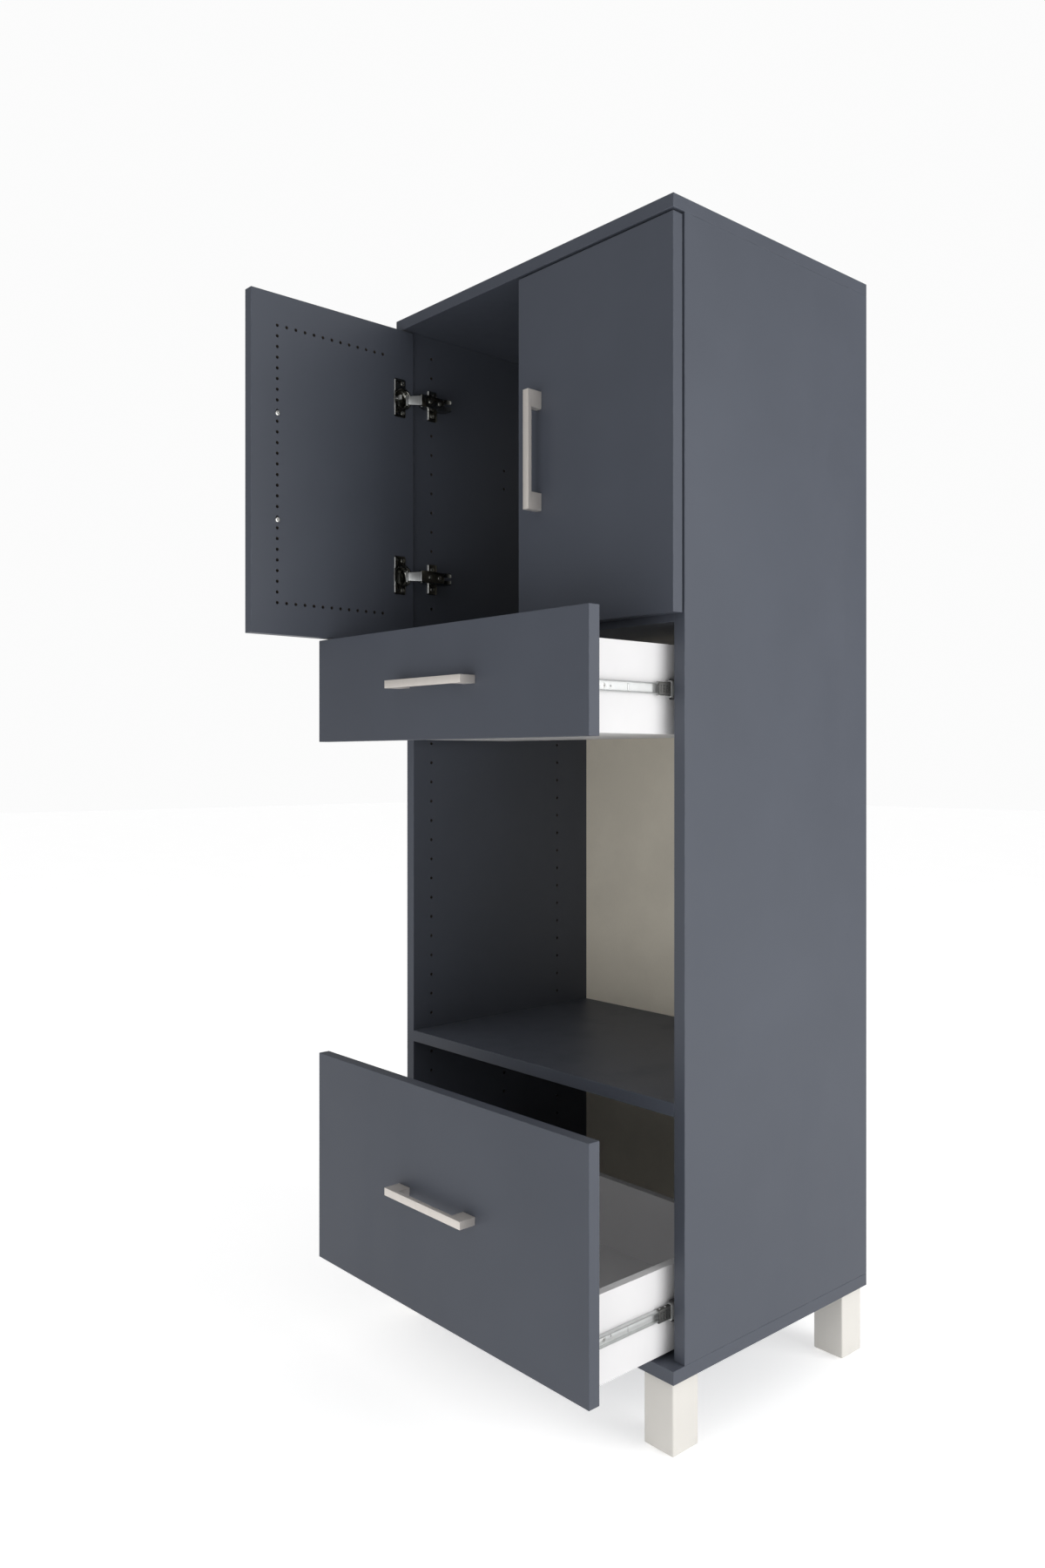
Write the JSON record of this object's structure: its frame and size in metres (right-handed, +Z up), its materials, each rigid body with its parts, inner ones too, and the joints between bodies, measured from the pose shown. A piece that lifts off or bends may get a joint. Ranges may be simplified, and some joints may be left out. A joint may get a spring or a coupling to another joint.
{
  "type": "pantry cabinet",
  "caption": "Tall slate-grey pantry cabinet with doors on concealed hinges, an open niche, drawers on full-extension slides, bow handles and square cream legs.",
  "frame": {"origin": "on the floor, under the middle of the carcass", "axes": "+X to the right of somebody facing the doors, +Y back into the cabinet, +Z up"},
  "size_m": [0.6215, 0.7206, 1.616],
  "materials": {
    "carcass_laminate": "satin melamine, dark slate blue-grey",
    "front_laminate": "satin melamine, dark slate blue-grey",
    "back_board": "matt printed hardboard, warm grey",
    "leg_lacquer": "satin cream lacquer",
    "handle_nickel": "satin nickel",
    "beech": "turned beech",
    "zinc_casting": "as cast zinc",
    "hinge_chrome": "bright nickel plate",
    "hinge_nickel": "dark nickel plate",
    "slide_zinc": "bright zinc plate",
    "screw_steel": "zinc plated",
    "drawer_white": "white foil"
  },
  "bodies": {
    "cabinet": {"back_panel": "back_board", "bottom_panel": "carcass_laminate", "carcass_dowels": "beech", "hinge_arm_pins": "screw_steel", "hinge_arms": "hinge_nickel", "hinge_plates": "hinge_nickel", "hinge_screws": "screw_steel", "left_side_panel": "carcass_laminate", "leg_back_left": "leg_lacquer", "leg_back_right": "leg_lacquer", "leg_bolts": "screw_steel", "leg_front_left": "leg_lacquer", "leg_front_right": "leg_lacquer", "lower_drawer_cabinet_rails": "slide_zinc", "niche_shelf": "carcass_laminate", "right_side_panel": "carcass_laminate", "shelf_cam_bolts": "screw_steel", "shelf_cams": "zinc_casting", "slide_screws": "screw_steel", "top_panel": "carcass_laminate", "upper_drawer_cabinet_rails": "slide_zinc", "upper_shelf": "carcass_laminate"},
    "left_hinge_link": {"left_hinge_links": "hinge_chrome"},
    "left_door": {"left_door_panel": "front_laminate", "left_door_handle": "handle_nickel", "left_door_handle_screws": "screw_steel", "left_hinge_cups": "hinge_nickel", "left_hinge_cup_pins": "screw_steel", "left_hinge_cup_screws": "screw_steel"},
    "right_hinge_link": {"right_hinge_links": "hinge_chrome"},
    "right_door": {"right_door_panel": "front_laminate", "right_door_handle": "handle_nickel", "right_door_handle_screws": "screw_steel", "right_hinge_cups": "hinge_nickel", "right_hinge_cup_pins": "screw_steel", "right_hinge_cup_screws": "screw_steel"},
    "upper_drawer": {"upper_drawer_front": "front_laminate", "upper_drawer_box_front": "drawer_white", "upper_drawer_left_side": "drawer_white", "upper_drawer_right_side": "drawer_white", "upper_drawer_back": "drawer_white", "upper_drawer_bottom": "drawer_white", "upper_drawer_handle": "handle_nickel", "upper_drawer_handle_screws": "screw_steel", "upper_drawer_box_screws": "screw_steel", "upper_drawer_rails": "slide_zinc"},
    "upper_middle_rails": {"upper_drawer_middle_rails": "slide_zinc"},
    "lower_drawer": {"lower_drawer_front": "front_laminate", "lower_drawer_box_front": "drawer_white", "lower_drawer_left_side": "drawer_white", "lower_drawer_right_side": "drawer_white", "lower_drawer_back": "drawer_white", "lower_drawer_bottom": "drawer_white", "lower_drawer_handle": "handle_nickel", "lower_drawer_handle_screws": "screw_steel", "lower_drawer_box_screws": "screw_steel", "lower_drawer_rails": "slide_zinc"},
    "lower_middle_rails": {"lower_drawer_middle_rails": "slide_zinc"}
  },
  "joints": [
    {"name": "left_link_turn", "type": "hinge", "parent": "cabinet", "child": "left_hinge_link", "pos_m": [-0.263, -0.1966, 1.3395], "axis": [0, 0, 1], "range_deg": [-33.67, 3.75]},
    {"name": "left_door_swing", "type": "hinge", "parent": "left_hinge_link", "child": "left_door", "pos_m": [-0.27904, -0.21437, 1.3395], "axis": [0, 0, 1], "range_deg": [-13.74, 123.66]},
    {"name": "right_link_turn", "type": "hinge", "parent": "cabinet", "child": "right_hinge_link", "pos_m": [0.263, -0.1966, 1.3395], "axis": [0, 0, 1], "range_deg": [-37.41, 0]},
    {"name": "right_door_swing", "type": "hinge", "parent": "right_hinge_link", "child": "right_door", "pos_m": [0.2862, -0.2025, 1.3395], "axis": [0, 0, 1], "range_deg": [0, 137.4]},
    {"name": "upper_drawer_slide", "type": "slide", "parent": "cabinet", "child": "upper_drawer", "axis": [0, -1, 0], "range_m": [-0.151, 0.149]},
    {"name": "upper_middle_rail_slide", "type": "slide", "parent": "cabinet", "child": "upper_middle_rails", "axis": [0, -1, 0], "range_m": [-0.0755, 0.0745]},
    {"name": "lower_drawer_slide", "type": "slide", "parent": "cabinet", "child": "lower_drawer", "axis": [0, -1, 0], "range_m": [-0.151, 0.149]},
    {"name": "lower_middle_rail_slide", "type": "slide", "parent": "cabinet", "child": "lower_middle_rails", "axis": [0, -1, 0], "range_m": [-0.0755, 0.0745]}
  ],
  "couplings": [
    {"joint": "left_link_turn", "follows": "left_door_swing", "ratio": -0.2722},
    {"joint": "right_link_turn", "follows": "right_door_swing", "ratio": -0.2722},
    {"joint": "upper_middle_rail_slide", "follows": "upper_drawer_slide", "ratio": 0.5},
    {"joint": "lower_middle_rail_slide", "follows": "lower_drawer_slide", "ratio": 0.5}
  ]
}
